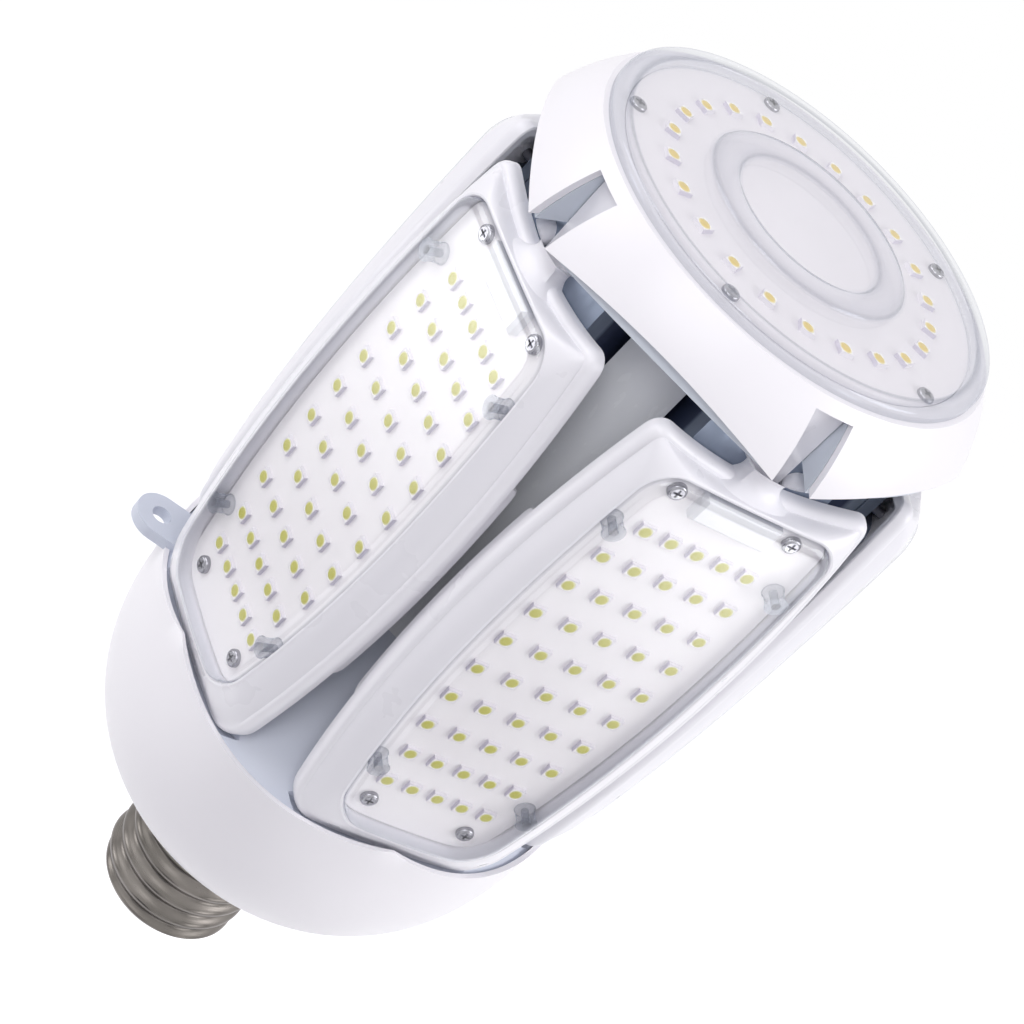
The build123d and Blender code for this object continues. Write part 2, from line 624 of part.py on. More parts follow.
# pod frame: shallow tray with a sloping band, deep side walls and a waisted neck
def make_pod_frame():
    frame = prism(pod_outline(0), PAD_FACE, EDGE_LO)
    frame += bridge(pod_outline(0), EDGE_LO, pod_outline(POD_EDGE_IN), EDGE_HI)
    frame += bridge(pod_outline(POD_EDGE_IN), EDGE_HI, lens_outline(-LENS_LIP), BAND_HI)
    frame -= prism(window(0), PAD_FACE - 1, FAR)

    back = PAD_FACE - SKIRT_DEEP
    skirt = prism(pod_outline(SKIRT_IN), back, PAD_FACE + SKIRT_IN)
    skirt -= prism(pod_outline(SKIRT_IN + SKIRT_T), back - 1, PAD_FACE + SKIRT_IN + 1)
    stretch = block(POD_HALF, back, PAD_FACE + SKIRT_IN, POD_LOW + SKIRT_LOW, POD_TOP - SKIRT_HIGH)
    stretch = fillet(stretch.edges().filter_by(Axis.X).group_by(Axis.Y)[-1], SKIRT_R)
    frame += skirt & stretch

    low, high = POD_TOP - POD_DIP - NECK_IN, EDGE_Z - POCKET_SIDE - NECK_DROP
    waist = (low + high) / 2
    outline = make_face(Curve() + [
        Line((-NECK_HALF, low), (NECK_HALF, low)),
        ThreePointArc((NECK_HALF, low), (NECK_WAIST, waist), (NECK_HALF, high)),
        Line((NECK_HALF, high), (-NECK_HALF, high)),
        ThreePointArc((-NECK_HALF, high), (-NECK_WAIST, waist), (-NECK_HALF, low)),
    ])
    side = make_face(Curve() + [
        Polyline((-PAD_FACE, high), (-PAD_FACE, low), (-BAND_HI, low)),
        ThreePointArc((-BAND_HI, low), (-PAD_FACE - NECK_SADDLE, waist), (-PAD_FACE - NECK_OUT, high)),
        Line((-PAD_FACE - NECK_OUT, high), (-PAD_FACE, high)),
    ])
    swept = extrude(Plane(origin=(-FAR, 0, 0), x_dir=(0, 1, 0), z_dir=(1, 0, 0)) * side, 2 * FAR)
    frame += prism(outline, PAD_FACE, BAND_HI) & swept
    frame += block(NOTCH_HALF - TAB_IN, PAD_FACE, PAD_FACE + TAB_T, low, CAP_TOP - NOTCH_TOP - TAB_IN)

    frame -= prism(lens_outline(-FIT), FLOOR, FAR)
    for sx, sz in POD_SCREWS:
        frame -= bore(sx, PAD_FACE - 1, FLOOR + 1, sz, SCREW_R + PRESS)
    return frame


# pod lens: clear tray with a rounded edge and four hollow pegs
def make_pod_lens():
    roof, inner = LENS_FACE - LENS_WALL, LENS_EDGE - 0.3
    lens = prism(lens_outline(0), LENS_SEAT, LENS_EDGE)
    lens += bridge(lens_outline(0), LENS_EDGE, lens_outline(LENS_ROUND), LENS_FACE)
    lens -= prism(lens_outline(LENS_WALL), LENS_SEAT - 1, inner)
    lens -= bridge(lens_outline(LENS_WALL), inner, lens_outline(LENS_ROUND + LENS_WALL), roof)
    for z, side_in in ((LENS_TOP - PEG_TOP[0], PEG_TOP[1]), (LENS_LOW + PEG_LOW[0], PEG_LOW[1])):
        for s in (1, -1):
            x = s * (lens_half_at(z) - side_in)
            lens += bore(x, LENS_SEAT, roof + 0.2, z, PEG_R)
            lens -= bore(x, LENS_SEAT - 1, roof - 0.6, z, PEG_BORE)
    return lens


def make_pod_board():
    board = prism(lens_outline(2 * FIT), FLOOR + SEAM, BOARD_FACE)
    for sx, sz in POD_SCREWS:
        board -= bore(sx, PAD_FACE, BOARD_FACE + 1, sz, SCREW_R + PRESS)
    return board


def make_pod_leds():
    z_top, z_low = LENS_TOP - ROW_IN_TOP, LENS_LOW + ROW_IN_LOW
    leds = []
    for row in range(ROWS):
        z = z_top - (z_top - z_low) * row / (ROWS - 1)
        pitch = 2 * (lens_half_at(z) - COL_IN[row]) / (COLS - 1)
        for col in range(COLS):
            x = pitch * (col - (COLS - 1) / 2)
            leds.append(block(LED_A / 2, BOARD_FACE + SEAM, BOARD_FACE + SEAM + LED_H,
                              z - LED_A / 2, z + LED_A / 2, x))
    return Compound(children=leds)


def make_pod_screws():
    one = screw(SCREW_HEAD_R, SCREW_HEAD_H, SCREW_LEN)
    return Compound(children=[
        Plane(origin=(x, -BOARD_FACE - SEAM, z), x_dir=(1, 0, 0), z_dir=(0, -1, 0)) * one
        for x, z in POD_SCREWS])


def make_cover():
    high = LENS_TOP - COVER_IN
    cover = block(COVER_HALF, BOARD_FACE + SEAM, BOARD_FACE + COVER_T, high - COVER_H, high)
    return chamfer(cover.faces().sort_by(Axis.Y)[0].edges(), COVER_BEVEL)


save(make_shell(), "screw_shell")
save(make_insulator(), "base_insulator")
save(make_contact(), "centre_contact")
save(make_sleeve(), "shell_sleeve")
save(make_bowl(), "lower_housing")
save(make_collar(), "pod_collar")
save(make_deck(), "driver_deck")
save(tube(DRIVER_R, DRIVER_BORE, DRIVER_Z, DRIVER_TOP), "driver_board")
save(make_coil(), "driver_transformer")
save(Compound(children=[post(x, y, r, DRIVER_Z - h, DRIVER_Z) for x, y, r, h in CANS]),
     "driver_capacitors")
save(Pos(*CHOKE_AT, DRIVER_Z - CHOKE_R[1] - PRESS) * Torus(*CHOKE_R), "driver_choke")
save(Compound(children=[disc(LEAD_R, TIP_H + SEAM, DRIVER_Z), make_shell_lead()]), "base_leads")
save(disc(HEAD_LEAD_R, DRIVER_Z, CAP_FLOOR - PRESS), "head_lead")
save(make_sink(), "heat_sink")
save(make_cap(), "head_cap")
save(make_chassis(), "head_chassis")
save(make_head_board(), "head_board")
save(make_head_leds(), "head_leds")
save(make_head_screws(), "head_screws")
save(make_head_lens(), "head_lens")

column = make_column()
for k, az in enumerate(GAP_AZ, 1):
    save(spin(column, az), "column_%d" % k)

pod_pieces = {
    "frame": make_pod_frame(),
    "plate": prism(window(FIT), PAD_FACE + SEAM, FLOOR),
    "board": make_pod_board(),
    "lens": make_pod_lens(),
    "leds": make_pod_leds(),
    "screws": make_pod_screws(),
    "cover": make_cover(),
}
for k, az in enumerate(POD_AZ, 1):
    for name, shape in pod_pieces.items():
        save(spin(shape, az), "pod%d_%s" % (k, name))
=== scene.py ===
import math
import bmesh
import bpy
import numpy as np
from mathutils import Matrix, Vector


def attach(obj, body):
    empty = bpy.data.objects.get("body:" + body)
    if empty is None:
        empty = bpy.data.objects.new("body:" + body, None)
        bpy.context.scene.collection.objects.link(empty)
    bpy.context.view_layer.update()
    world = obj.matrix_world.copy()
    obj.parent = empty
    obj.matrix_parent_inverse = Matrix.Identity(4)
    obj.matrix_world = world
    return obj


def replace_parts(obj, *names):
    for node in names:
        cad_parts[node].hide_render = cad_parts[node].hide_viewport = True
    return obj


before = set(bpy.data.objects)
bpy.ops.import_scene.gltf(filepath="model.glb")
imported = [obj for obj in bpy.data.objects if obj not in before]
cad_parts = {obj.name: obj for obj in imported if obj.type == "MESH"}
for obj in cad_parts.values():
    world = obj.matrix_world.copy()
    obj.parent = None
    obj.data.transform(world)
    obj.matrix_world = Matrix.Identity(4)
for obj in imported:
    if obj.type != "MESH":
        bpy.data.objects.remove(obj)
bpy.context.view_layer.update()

MM = 0.001

# Sizes in mm; a size that the CAD has too is the same there. rho is a distance from the lamp axis,
# t runs round it, and azimuth 0 is the front, between two pods.
PODS = 5
STEP = 360.0 / PODS
POD_AZ = [STEP / 2 + STEP * k for k in range(PODS)]

# Outlines of the pod and of its lens, seen from outside.
POD_SHAPE = dict(half_top=27.2, z_top=245.0, half=33.6, z_wide=180.0, half_low=26.0, z_low=107.5,
                 dip=4.3, belly=1.8, r_top=4.5, r_low=9.0)
LENS_SHAPE = dict(half_top=22.6, z_top=238.5, half=25.6, z_wide=185.0, half_low=18.8, z_low=116.5,
                  dip=0.5, belly=1.0, r_top=7.0, r_low=9.0)

# Distances of the pod's faces from the axis: seat on the heat sink, rounded outer edge, band and board.
PAD_FACE = 48.8
EDGE_LO, EDGE_HI, EDGE_IN = 50.4, 52.7, 1.8
BAND_HI, BAND_CROWN = 57.0, 0.10
FRAME_BACK_IN, FRAME_BACK_BREAK = 2.4, 0.25
FLOOR, FLOOR_IN, BOARD_FACE = 51.95, 2.5, 53.55
LENS_LIP = 1.2
LENS_SEAT, LENS_EDGE, LENS_FACE, LENS_ROUND = 53.6, 57.3, 58.9, 2.6
LENS_MIDDLE = (140.0, 215.0)

# Deep walls behind the long sides, the saddle above the pod and the tab that stands on it.
SKIRT_BACK, SKIRT_TOP, SKIRT_WALL, SKIRT_END = 45.8, 49.2, 3.0, 3.0
SKIRT_LOW, SKIRT_HIGH = 143.0, 210.0
NECK_LOW, NECK_HIGH = 238.9, 246.3
NECK_HALF, NECK_WAIST, NECK_FLARE = 7.8, 3.1, 3.0
NECK_FACE, NECK_DIP, NECK_LEAN, NECK_CROWN = 53.5, 2.7, 0.4, 1.9
TAB_HALF, TAB_FACE, TAB_TOP = 4.3, 49.7, 263.1

# Light packages and the posts of the lens, as heights along the lamp and distances from the pod's middle.
LED_A, LED_H, PHOSPHOR_R = 3.5, 1.0, 1.5
LED_COLUMNS = 5
LED_ROWS = np.linspace(221.0, 129.74, 10)
LED_PITCH = (6.52, 7.93, 8.47, 8.8, 8.89, 8.89, 8.66, 8.2, 6.99, 6.6)
PEG_R, PEG_BORE, PEG_NECK, PEG_TOP = 2.2, 1.0, 57.0, 57.75
PEGS = ((220.2, 20.8), (135.7, 19.6))

# Head: face of the cap, the bore that the lens drops into, the disc and its bead, and the ring of packages.
CAP_TOP, CAP_BORE = 266.0, 45.3
HEAD_Z, DISC_UNDER, DISC_OVER = 268.0, 0.5, 0.7
BEAD_R, BEAD_ARC = 49.5, 1.2
HEAD_LEDS, HEAD_LED_RHO, HEAD_LED_AZ, HEAD_BOARD_Z = 22, 34.1, -6.86, 266.25

# Screw shell.
THREAD_R, THREAD_DEPTH, THREAD_PITCH = 19.75, 1.75, 6.35
THREAD_LOW, THREAD_HIGH = 11.9, 40.5
SHELL_LOW, SHELL_TOP, SHELL_MOUTH, SHELL_INSIDE = 8.5, 46.0, 13.35, 17.0

# Studio, in m: height of the pods' middle, which the lamps face, and of the floor.
AIM_Z, FLOOR_Z = 0.18, -0.25


# shader writing

class Value:
    """A shader socket that can be written in sums, products and powers."""

    def __init__(self, shader, socket):
        self.shader, self.socket = shader, socket

    def _math(self, operation, a, b):
        return self.shader.node("ShaderNodeMath", {"operation": operation}, {0: a, 1: b})

    def __add__(self, other):
        return self._math("ADD", self, other)

    def __radd__(self, other):
        return self._math("ADD", other, self)

    def __sub__(self, other):
        return self._math("SUBTRACT", self, other)

    def __rsub__(self, other):
        return self._math("SUBTRACT", other, self)

    def __mul__(self, other):
        return self._math("MULTIPLY", self, other)

    def __rmul__(self, other):
        return self._math("MULTIPLY", other, self)

    def __pow__(self, other):
        return self._math("POWER", self, other)


class Shader:
    """One material: a Principled surface whose sockets take numbers, colours or values from nodes."""

    def __init__(self, name, **constants):
        self.material = bpy.data.materials.new(name)
        self.material.use_nodes = True
        self.tree = self.material.node_tree
        self.surface = self.tree.nodes["Principled BSDF"]
        self.output = self.tree.nodes["Material Output"]
        self.put(**constants)

    def node(self, kind, settings=None, inputs=None, out=0):
        """Adds a node, gives it its settings and then its inputs, and returns one output as a Value."""
        made = self.tree.nodes.new(kind)
        for key, value in (settings or {}).items():
            setattr(made, key, value)
        for key, value in (inputs or {}).items():
            self.join(made.inputs[key], value)
        return Value(self, made.outputs[out])

    def join(self, socket, value):
        """Links a value to a socket, or sets the socket to a number or a colour."""
        if isinstance(value, Value):
            self.tree.links.new(value.socket, socket)
        elif socket.type == "RGBA" and len(value) == 3:
            socket.default_value = (*value, 1.0)
        else:
            socket.default_value = value

    def put(self, **sockets):
        """Sets Principled sockets by name, with _ for a space."""
        for name, value in sockets.items():
            self.join(self.surface.inputs[name.replace("_", " ")], value)
        return self

    def place(self):
        """Object coordinates, in metres."""
        return self.node("ShaderNodeTexCoord", out="Object")

    def split(self, vector):
        """The x, y and z of a vector."""
        made = self.tree.nodes.new("ShaderNodeSeparateXYZ")
        self.join(made.inputs[0], vector)
        return [Value(self, s) for s in made.outputs]

    def mark(self, name):
        """A number stored on the mesh, such as 1 on a wall and 0 elsewhere."""
        return self.node("ShaderNodeAttribute", {"attribute_name": name}, out="Fac")

    def noise(self, scale, detail=3.0, vector=None):
        """Noise about 0.5; scale is in cycles per metre."""
        return self.node("ShaderNodeTexNoise", None,
                         {"Vector": vector or self.place(), "Scale": scale, "Detail": detail})

    def stretched(self, x, y, z):
        """Object coordinates scaled along each axis, for a pattern that is longer one way."""
        return self.node("ShaderNodeMapping", None, {"Vector": self.place(), "Scale": (x, y, z)})

    def ramp(self, value, low, high, at_low=0.0, at_high=1.0):
        """Straight change from at_low to at_high as the value goes from low to high, held outside."""
        return self.node("ShaderNodeMapRange", {"clamp": True},
                         {"Value": value, "From Min": low, "From Max": high,
                          "To Min": at_low, "To Max": at_high})

    def mix(self, factor, a, b):
        """Colour that goes from a to b as the factor goes from 0 to 1."""
        return self.node("ShaderNodeMix", {"data_type": "RGBA"}, {0: factor, 6: a, 7: b}, out=2)

    def bump(self, height, depth):
        """Relief of the surface: a height of 1 stands proud by depth metres."""
        return self.put(Normal=self.node("ShaderNodeBump", None,
                                         {"Height": height, "Distance": depth, "Strength": 1.0}))

    def either(self, share, first, second):
        """The first shader where the share is 0 and the second where it is 1."""
        return self.node("ShaderNodeMixShader", None, {0: share, 1: first, 2: second})

    def glow(self, strength):
        """A shader that gives off white light, 1 being plain white."""
        return self.node("ShaderNodeEmission", None, {"Color": (1.0, 1.0, 1.0), "Strength": strength})

    def body(self):
        """The Principled surface as a shader to mix."""
        return Value(self, self.surface.outputs[0])

    def show(self, shader):
        """Sends a shader to the material's output in place of the Principled surface."""
        self.join(self.output.inputs["Surface"], shader)
        return self


def srgb(r, g, b):
    """Linear colour of a colour written as 0 to 255."""
    def one(v):
        v /= 255.0
        return v / 12.92 if v <= 0.04045 else ((v + 0.055) / 1.055) ** 2.4
    return (one(r), one(g), one(b))


def white_plastic(name, colour, rough, shade):
    """Smooth moulded plastic: faint flow marks in the colour, a fine spark-eroded grain and uneven gloss."""
    s = Shader(name, IOR=1.49)
    broad, fine = s.noise(18, 2), s.noise(2600, 2)
    darker = tuple(c * shade for c in colour)
    s.put(Base_Color=s.mix(s.ramp(broad, 0.35, 0.65), darker, colour))
    s.put(Roughness=s.ramp(s.noise(60, 4), 0.3, 0.7, rough - 0.05, rough + 0.06))
    return s.bump(fine + 0.6 * s.noise(300, 2), 0.000005)


def clear_plastic(name, faces, shade_paint_share, gloss):
    """Clear moulding: it mirrors more at a slant, and where its mark of painted shade is high, at its edges
    and posts, it is painted a grey that stands in for the shade and reflections seen in them, instead of a
    mirror. faces is how many reflecting faces one skin stands for."""
    s = Shader(name, IOR=1.49)
    shade_paint = s.mark("shade_paint")
    grey = s.ramp(shade_paint, 0.0, 1.0)
    ripple = s.noise(35, 3)
    # Painted shade: two greys for the shade and reflections seen in the clear edges and posts.
    shade_grey = s.mix(s.ramp(shade_paint, 1.0, 2.0), srgb(178, 184, 198), srgb(142, 147, 160))
    s.put(Base_Color=s.mix(grey, srgb(247, 248, 251), shade_grey), Metallic=1.0 - 0.75 * grey,
          Roughness=s.ramp(ripple, 0.3, 0.7, gloss * 0.8, gloss * 1.25))
    s.bump(ripple, 0.00012)
    slant = s.node("ShaderNodeLayerWeight", None, {"Blend": 0.5}, out="Facing")
    clear = s.node("ShaderNodeBsdfTransparent", None, {"Color": (1.0, 1.0, 1.0)})
    share = faces * (0.04 + 0.96 * slant ** 5) + shade_paint_share * shade_paint
    return s.show(s.either(share, clear, s.body()))


def make_materials():
    """The finishes of the lamp, by a key for each. Bump depths are in metres."""
    made = {}
    made["housing"] = white_plastic("white_housing", srgb(243, 241, 245), 0.34, 0.985)
    # Painted shade: the collar's white is painted grey-blue for the shade between the pods.
    made["collar"] = white_plastic("white_collar", srgb(212, 217, 230), 0.36, 0.95)
    made["pod"] = white_plastic("white_pod", srgb(240, 239, 244), 0.30, 0.985)
    # Painted shade: this white is painted grey-blue for the shade in the head's notches; the sleeve and
    # driver deck share it.
    made["inner"] = white_plastic("chassis_painted_shade", srgb(208, 214, 223), 0.40, 0.96)

    s = made["column"] = Shader("column_metal", Metallic=0.0, IOR=1.5)
    grain = s.noise(500, 2, vector=s.stretched(1, 1, 0.3))
    s.put(Base_Color=s.mix(grain, srgb(243, 245, 250), srgb(247, 249, 252)))
    s.put(Roughness=s.ramp(grain, 0.3, 0.7, 0.24, 0.28))

    s = made["sink"] = Shader("heat_sink_metal", Metallic=0.6)
    grain = s.noise(700, 3, vector=s.stretched(1, 1, 0.03))
    x, y, z = s.split(s.place())
    rho = (x * x + y * y) ** 0.5
    # Painted shade: the fins behind the pads are painted dark navy for the shade in the recess, and the pads
    # and plates that face outward are painted grey-blue for their shade.
    face = s.ramp(rho, (PAD_FACE - 2.2) * MM, (PAD_FACE - 1.2) * MM)
    dark = s.mix(grain, srgb(44, 52, 78), srgb(58, 68, 96))
    pale = s.mix(grain, srgb(124, 134, 152), srgb(138, 148, 166))
    s.put(Base_Color=s.mix(face, dark, pale), Roughness=s.ramp(grain, 0.3, 0.7, 0.35, 0.5))
    s.bump(grain, 0.00002)

    s = made["nickel"] = Shader("nickel_shell", Metallic=1.0)
    rubbed = s.noise(500, 4, vector=s.stretched(0.15, 0.15, 6))
    tarnish = s.noise(60, 4)
    s.put(Base_Color=s.mix(s.ramp(tarnish, 0.4, 0.7), srgb(130, 125, 121), srgb(108, 104, 100)))
    s.put(Roughness=s.ramp(rubbed, 0.3, 0.7, 0.26, 0.36))
    s.bump(rubbed, 0.00001)

    s = made["steel"] = Shader("screw_steel", Metallic=1.0, Roughness=0.24)
    s.put(Base_Color=s.mix(s.noise(900), srgb(138, 138, 146), srgb(172, 171, 178)))
    s.bump(s.noise(3000), 0.00001)

    s = made["brass"] = Shader("contact_metal", Metallic=1.0)
    s.put(Base_Color=s.mix(s.noise(400), srgb(184, 170, 130), srgb(206, 194, 158)),
          Roughness=s.ramp(s.noise(900), 0.3, 0.7, 0.25, 0.4))

    s = made["insulator"] = Shader("base_insulator", Coat_Weight=0.4)
    s.put(Base_Color=s.mix(s.noise(200), srgb(24, 24, 28), srgb(34, 34, 40)),
          Roughness=s.ramp(s.noise(500), 0.3, 0.7, 0.2, 0.32))

    s = made["board"] = Shader("white_board", IOR=1.5)
    weave = s.noise(1500, 2)
    s.put(Base_Color=s.mix(s.noise(120, 3), srgb(246, 243, 246), srgb(251, 249, 251)),
          Roughness=s.ramp(weave, 0.3, 0.7, 0.3, 0.42))
    s.bump(weave, 0.00001)

    s = made["head_board"] = Shader("head_board", IOR=1.5)
    weave = s.noise(1500, 2)
    s.put(Base_Color=s.mix(s.noise(60, 3), srgb(229, 226, 231), srgb(236, 233, 238)),
          Roughness=s.ramp(weave, 0.3, 0.7, 0.34, 0.46))
    s.bump(weave, 0.00001)

    s = made["package"] = Shader("led_package", IOR=1.5)
    # Painted shade: the wall mark paints the package walls grey-lilac, most on the two side walls, for the
    # shade on them.
    wall = s.mark("wall")
    top = s.mix(s.noise(1200), srgb(240, 238, 240), srgb(248, 246, 248))
    side = s.mix(s.noise(900), srgb(196, 191, 206), srgb(212, 207, 220))
    s.put(Base_Color=s.mix(wall, top, side), Roughness=s.ramp(s.noise(2000), 0.3, 0.7, 0.28, 0.42))

    for key, name, low, high in (("phosphor", "led_phosphor", (190, 188, 84), (206, 203, 104)),
                                 ("head_phosphor", "head_phosphor", (214, 184, 72), (228, 204, 106))):
        s = made[key] = Shader(name, IOR=1.45, Roughness=0.25)
        grains = s.noise(6000, 3)
        core = s.mix(s.ramp(grains, 0.3, 0.7), srgb(*low), srgb(*high))
        s.put(Base_Color=s.mix(s.ramp(s.mark("rim"), 0.5, 1.0), core, srgb(240, 238, 214)))
        s.bump(grains, 0.00003)

    made["cover"] = white_plastic("terminal_cover", srgb(236, 237, 241), 0.28, 0.98)
    made["lens"] = clear_plastic("clear_lens", 1.8, 0.16, 0.15)
    made["head_lens"] = clear_plastic("clear_head_lens", 1.0, 0.11, 0.10)

    for key, name, low, high, rough in (
            ("circuit", "circuit_board", (22, 62, 36), (30, 78, 46), 0.4),
            ("winding", "transformer", (176, 150, 40), (206, 178, 62), 0.5),
            ("can", "capacitor", (20, 20, 26), (34, 34, 42), 0.3),
            ("ferrite", "ferrite", (38, 38, 40), (54, 54, 56), 0.6),
            ("wire", "wire", (196, 60, 52), (214, 78, 66), 0.45)):
        s = made[key] = Shader(name)
        s.put(Base_Color=s.mix(s.noise(400), srgb(*low), srgb(*high)),
              Roughness=s.ramp(s.noise(900), 0.3, 0.7, rough - 0.06, rough + 0.06))
    return {key: s.material for key, s in made.items()}


# mesh making

def grid(rows, cols, wrap=False):
    """Quads of a rows by cols grid, facing along (next column) x (next row). wrap joins the last column
    to the first."""
    r = np.arange(rows - 1)[:, None]
    c = np.arange(cols if wrap else cols - 1)[None, :]
    n = (c + 1) % cols
    return np.stack([r * cols + c, r * cols + n, (r + 1) * cols + n, (r + 1) * cols + c], -1).reshape(-1, 4)


def joined(parts):
    """Several (points, faces) pairs as one pair, each with its point numbers after the last one's."""
    points, faces, count = [], [], 0
    for p, f in parts:
        p = np.reshape(p, (-1, 3))
        points.append(p)
        faces += [[int(i) + count for i in face] for face in f]
        count += len(p)
    return np.concatenate(points), faces


def piece(name, shape, material, stands_for=(), sharp=32.0, merge=0.0, marks=None):
    """A finished piece from (points in mm, faces). marks are numbers for each point or each face that its
    material reads, by name."""
    points, faces = shape
    mesh = bpy.data.meshes.new(name)
    mesh.from_pydata((np.reshape(points, (-1, 3)) * MM).tolist(), [], [list(map(int, f)) for f in faces])
    for key, values in (marks or {}).items():
        values = np.ravel(values)
        domain = "POINT" if len(values) == len(mesh.vertices) else "FACE"
        mesh.attributes.new(key, "FLOAT", domain).data.foreach_set("value", values.astype(np.float32))
    if merge:
        bm = bmesh.new()
        bm.from_mesh(mesh)
        bmesh.ops.remove_doubles(bm, verts=bm.verts, dist=merge * MM)
        bm.to_mesh(mesh)
        bm.free()
    mesh.materials.append(MATERIALS[material])
    o = bpy.data.objects.new(name, mesh)
    bpy.context.scene.collection.objects.link(o)
    mesh.shade_smooth()
    mesh.set_sharp_from_angle(angle=math.radians(sharp))
    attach(o, "root")
    if stands_for:
        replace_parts(o, *stands_for)
    return o


def smoothed(node, material, sharp=30.0):
    """A copy of a CAD node with its doubles merged, shaded smooth except over sharp edges."""
    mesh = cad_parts[node].data.copy()
    bm = bmesh.new()
    bm.from_mesh(mesh)
    bmesh.ops.remove_doubles(bm, verts=bm.verts, dist=0.002 * MM)
    bm.to_mesh(mesh)
    bm.free()
    if "custom_normal" in mesh.attributes:
        mesh.attributes.remove(mesh.attributes["custom_normal"])
    mesh.name = node + "_smooth"
    mesh.materials.clear()
    mesh.materials.append(MATERIALS[material])
    mesh.shade_smooth()
    mesh.set_sharp_from_angle(angle=math.radians(sharp))
    o = bpy.data.objects.new(mesh.name, mesh)
    bpy.context.scene.collection.objects.link(o)
    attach(o, "root")
    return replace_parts(o, node)


def place(t, rho, z, az):
    """Points given by tangential, outward and axial distances at an azimuth in degrees."""
    t, rho, z, a = np.broadcast_arrays(t, rho, z, np.radians(az))
    return np.stack([t * np.cos(a) + rho * np.sin(a), t * np.sin(a) - rho * np.cos(a), z], -1).astype(float)


def turned(profile, count=200):
    """Surface of revolution about the lamp axis of (radius, height) points, which run upward on their
    outer side."""
    r, z = np.array(profile, float).T
    a = np.linspace(0, 360.0, count, endpoint=False)[None, :]
    return place(0.0, r[:, None], z[:, None], a).reshape(-1, 3), grid(len(r), count, wrap=True)


def arc(cx, cy, radius, start, end, count):
    """Points of an arc between two angles in degrees."""
    a = np.radians(np.linspace(start, end, count))
    return np.stack([cx + radius * np.cos(a), cy + radius * np.sin(a)], -1)


def side_half(z, half_top, z_top, half, z_wide, half_low, z_low):
    """Half width at a height: two arcs that are widest at z_wide and pass through both ends."""
    def radius(dz, dw):
        return (dz * dz + dw * dw) / (2 * dw)
    r = np.where(z > z_wide, radius(z_top - z_wide, half - half_top), radius(z_wide - z_low, half - half_low))
    return half - r + np.sqrt(r * r - (z - z_wide) ** 2)


def half_at(shape, z):
    """Half width of an outline at a height."""
    return side_half(z, *[shape[k] for k in ("half_top", "z_top", "half", "z_wide", "half_low", "z_low")])


def barrel(half_top, z_top, half, z_wide, half_low, z_low, dip, belly, r_top, r_low, inset=0.0, fine=10):
    """Closed outline, anticlockwise from outside: a round-cornered rectangle whose sides are bent to arcs,
    whose top sags and whose bottom bellies, then moved inward along its normals by inset."""
    def run(a, b, n):
        s = np.linspace(0, 1, n, endpoint=False)[:, None]
        return np.array(a) + s * (np.array(b) - np.array(a))
    h = half
    path = np.concatenate([
        run((0, z_low), (h - r_low, z_low), 12),
        arc(h - r_low, z_low + r_low, r_low, -90, 0, fine)[:-1],
        run((h, z_low + r_low), (h, z_top - r_top), 40),
        arc(h - r_top, z_top - r_top, r_top, 0, 90, fine)[:-1],
        run((h - r_top, z_top), (r_top - h, z_top), 24),
        arc(r_top - h, z_top - r_top, r_top, 90, 180, fine)[:-1],
        run((-h, z_top - r_top), (-h, z_low + r_low), 40),
        arc(r_low - h, z_low + r_low, r_low, 180, 270, fine)[:-1],
        run((r_low - h, z_low), (0, z_low), 12),
    ])
    x, z = path[:, 0], path[:, 1]
    x = x * side_half(z, half_top, z_top, half, z_wide, half_low, z_low) / half
    up = np.clip((z - z_wide) / (z_top - z_wide), 0, 1) ** 6
    down = np.clip((z_wide - z) / (z_wide - z_low), 0, 1) ** 6
    z = z - dip * up * np.clip(1 - (x / half_top) ** 2, 0, 1)
    z = z - belly * down * np.clip(1 - (x / half_low) ** 2, 0, 1)
    line = np.stack([x, z], -1)
    tangent = np.roll(line, -1, 0) - np.roll(line, 1, 0)
    tangent /= np.linalg.norm(tangent, axis=1)[:, None]
    return line - inset * np.stack([tangent[:, 1], -tangent[:, 0]], -1)


def rings(outlines, rhos, az):
    """Surface through a stack of outlines at their distances from the axis."""
    points = np.concatenate([place(o[:, 0], r, o[:, 1], az) for o, r in zip(outlines, rhos)])
    return points, grid(len(outlines), len(outlines[0]), wrap=True)


MATERIALS = make_materials()


# pods

def pod_frame(az):
    """Tray ring: from the back along the side, over a rounded edge, up a slightly crowned band to the
    lens lip, over the lip and down to the board's floor."""
    outlines = [barrel(**POD_SHAPE, inset=d) for d in (FRAME_BACK_IN, FRAME_BACK_BREAK, 0.0)]
    rhos = [PAD_FACE, PAD_FACE, PAD_FACE + 0.3]
    for a in np.radians(np.linspace(0, 90, 8)):
        outlines.append(barrel(**POD_SHAPE, inset=EDGE_IN * (1 - np.cos(a))))
        rhos.append(EDGE_LO + (EDGE_HI - EDGE_LO) * np.sin(a))
    start, end = outlines[-1], barrel(**LENS_SHAPE, inset=-LENS_LIP)
    for s in np.linspace(0, 1, 9)[1:]:
        outlines.append(start + s * (end - start))
        rhos.append(EDGE_HI + (BAND_HI - EDGE_HI) * (s + BAND_CROWN * np.sin(np.pi * s)))
    down = FLOOR - BAND_HI
    for d, r in ((-0.9, 0.22), (-0.45, 0.16), (-0.2, -0.1), (-0.15, -0.6), (-0.15, down), (FLOOR_IN, down)):
        outlines.append(barrel(**LENS_SHAPE, inset=d))
        rhos.append(BAND_HI + r)
    return rings(outlines, rhos, az)


